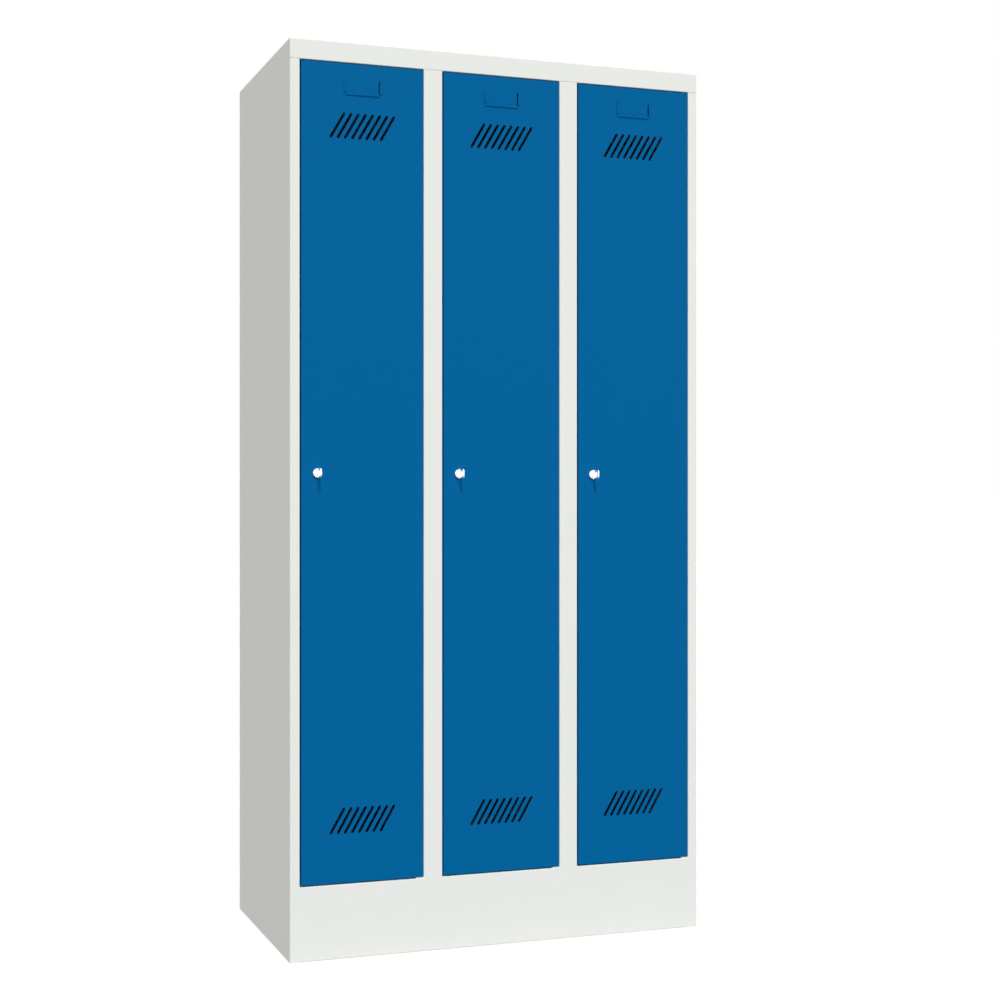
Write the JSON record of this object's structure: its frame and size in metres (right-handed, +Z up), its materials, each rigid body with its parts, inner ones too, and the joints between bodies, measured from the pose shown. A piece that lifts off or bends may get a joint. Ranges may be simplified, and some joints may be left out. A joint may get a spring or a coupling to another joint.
{
  "type": "clothes locker",
  "caption": "Tall sheet-steel clothes locker on a closed plinth: inset pivot-hinged doors with slanted vent slots, card tabs and cam locks, over compartments with hat shelf and coat rail.",
  "frame": {"origin": "bottom centre of the whole envelope, from the key bows in front to the back panel, on the floor", "axes": "+X to the right seen from the front, +Y from the doors to the back panel, +Z up"},
  "size_m": [0.9, 0.532, 1.85],
  "materials": {
    "carcass_paint": "light grey powder coat, fine texture, semi-matt",
    "door_paint": "blue powder coat, fine texture, semi-matt",
    "lock_chrome": "bright nickel-chrome plate",
    "key_steel": "nickel-plated stamped steel",
    "zinc_plate": "zinc plate",
    "hook_plastic": "black moulded polyamide",
    "plug_plastic": "light grey moulded plastic",
    "rubber": "matt black rubber"
  },
  "bodies": {
    "carcass": {"left_side_panel": "carcass_paint", "right_side_panel": "carcass_paint", "back_panel": "carcass_paint", "top_panel": "carcass_paint", "bottom_panel": "carcass_paint", "plinth_front": "carcass_paint", "left_post": "carcass_paint", "right_post": "carcass_paint", "left_partition": "carcass_paint", "right_partition": "carcass_paint", "hinge_brackets": "carcass_paint", "coat_rail_brackets": "carcass_paint", "door_buffers": "rubber", "connector_plugs": "plug_plastic", "hat_shelf_1": "carcass_paint", "coat_rail_1": "zinc_plate", "hat_shelf_2": "carcass_paint", "coat_rail_2": "zinc_plate", "hat_shelf_3": "carcass_paint", "coat_rail_3": "zinc_plate"},
    "door_1": {"door_skin_1": "door_paint", "door_stiffener_1": "door_paint", "hinge_pins_1": "zinc_plate", "lock_housing_1": "lock_chrome", "lock_nut_1": "zinc_plate"},
    "lock_1": {"lock_plug_1": "lock_chrome", "lock_cam_1": "zinc_plate", "cam_screw_1": "zinc_plate"},
    "door_key_1": {"key_1": "key_steel"},
    "hook_1_1": {"coat_hook_1_1": "hook_plastic"},
    "hook_1_2": {"coat_hook_1_2": "hook_plastic"},
    "hook_1_3": {"coat_hook_1_3": "hook_plastic"},
    "door_2": {"door_skin_2": "door_paint", "door_stiffener_2": "door_paint", "hinge_pins_2": "zinc_plate", "lock_housing_2": "lock_chrome", "lock_nut_2": "zinc_plate"},
    "lock_2": {"lock_plug_2": "lock_chrome", "lock_cam_2": "zinc_plate", "cam_screw_2": "zinc_plate"},
    "door_key_2": {"key_2": "key_steel"},
    "hook_2_1": {"coat_hook_2_1": "hook_plastic"},
    "hook_2_2": {"coat_hook_2_2": "hook_plastic"},
    "hook_2_3": {"coat_hook_2_3": "hook_plastic"},
    "door_3": {"door_skin_3": "door_paint", "door_stiffener_3": "door_paint", "hinge_pins_3": "zinc_plate", "lock_housing_3": "lock_chrome", "lock_nut_3": "zinc_plate"},
    "lock_3": {"lock_plug_3": "lock_chrome", "lock_cam_3": "zinc_plate", "cam_screw_3": "zinc_plate"},
    "door_key_3": {"key_3": "key_steel"},
    "hook_3_1": {"coat_hook_3_1": "hook_plastic"},
    "hook_3_2": {"coat_hook_3_2": "hook_plastic"},
    "hook_3_3": {"coat_hook_3_3": "hook_plastic"}
  },
  "joints": [
    {"name": "door_1_swing", "type": "hinge", "parent": "carcass", "child": "door_1", "pos_m": [-0.181, -0.23, 0.98], "axis": [0, 0, 1], "range_deg": [0, 110]},
    {"name": "lock_1_turn", "type": "hinge", "parent": "door_1", "child": "lock_1", "pos_m": [-0.394, -0.234, 0.98], "axis": [0, 1, 0], "range_deg": [0, 90]},
    {"name": "key_1_pull", "type": "slide", "parent": "lock_1", "child": "door_key_1", "axis": [0, -1, 0], "range_m": [0, 0.024]},
    {"name": "hook_1_1_slide", "type": "slide", "parent": "carcass", "child": "hook_1_1", "axis": [1, 0, 0], "range_m": [-0.03, 0.03]},
    {"name": "hook_1_2_slide", "type": "slide", "parent": "carcass", "child": "hook_1_2", "axis": [1, 0, 0], "range_m": [-0.03, 0.03]},
    {"name": "hook_1_3_slide", "type": "slide", "parent": "carcass", "child": "hook_1_3", "axis": [1, 0, 0], "range_m": [-0.03, 0.03]},
    {"name": "door_2_swing", "type": "hinge", "parent": "carcass", "child": "door_2", "pos_m": [0.119, -0.23, 0.98], "axis": [0, 0, 1], "range_deg": [0, 110]},
    {"name": "lock_2_turn", "type": "hinge", "parent": "door_2", "child": "lock_2", "pos_m": [-0.094, -0.234, 0.98], "axis": [0, 1, 0], "range_deg": [0, 90]},
    {"name": "key_2_pull", "type": "slide", "parent": "lock_2", "child": "door_key_2", "axis": [0, -1, 0], "range_m": [0, 0.024]},
    {"name": "hook_2_1_slide", "type": "slide", "parent": "carcass", "child": "hook_2_1", "axis": [1, 0, 0], "range_m": [-0.03, 0.03]},
    {"name": "hook_2_2_slide", "type": "slide", "parent": "carcass", "child": "hook_2_2", "axis": [1, 0, 0], "range_m": [-0.03, 0.03]},
    {"name": "hook_2_3_slide", "type": "slide", "parent": "carcass", "child": "hook_2_3", "axis": [1, 0, 0], "range_m": [-0.03, 0.03]},
    {"name": "door_3_swing", "type": "hinge", "parent": "carcass", "child": "door_3", "pos_m": [0.419, -0.23, 0.98], "axis": [0, 0, 1], "range_deg": [0, 110]},
    {"name": "lock_3_turn", "type": "hinge", "parent": "door_3", "child": "lock_3", "pos_m": [0.206, -0.234, 0.98], "axis": [0, 1, 0], "range_deg": [0, 90]},
    {"name": "key_3_pull", "type": "slide", "parent": "lock_3", "child": "door_key_3", "axis": [0, -1, 0], "range_m": [0, 0.024]},
    {"name": "hook_3_1_slide", "type": "slide", "parent": "carcass", "child": "hook_3_1", "axis": [1, 0, 0], "range_m": [-0.03, 0.03]},
    {"name": "hook_3_2_slide", "type": "slide", "parent": "carcass", "child": "hook_3_2", "axis": [1, 0, 0], "range_m": [-0.03, 0.03]},
    {"name": "hook_3_3_slide", "type": "slide", "parent": "carcass", "child": "hook_3_3", "axis": [1, 0, 0], "range_m": [-0.03, 0.03]}
  ]
}
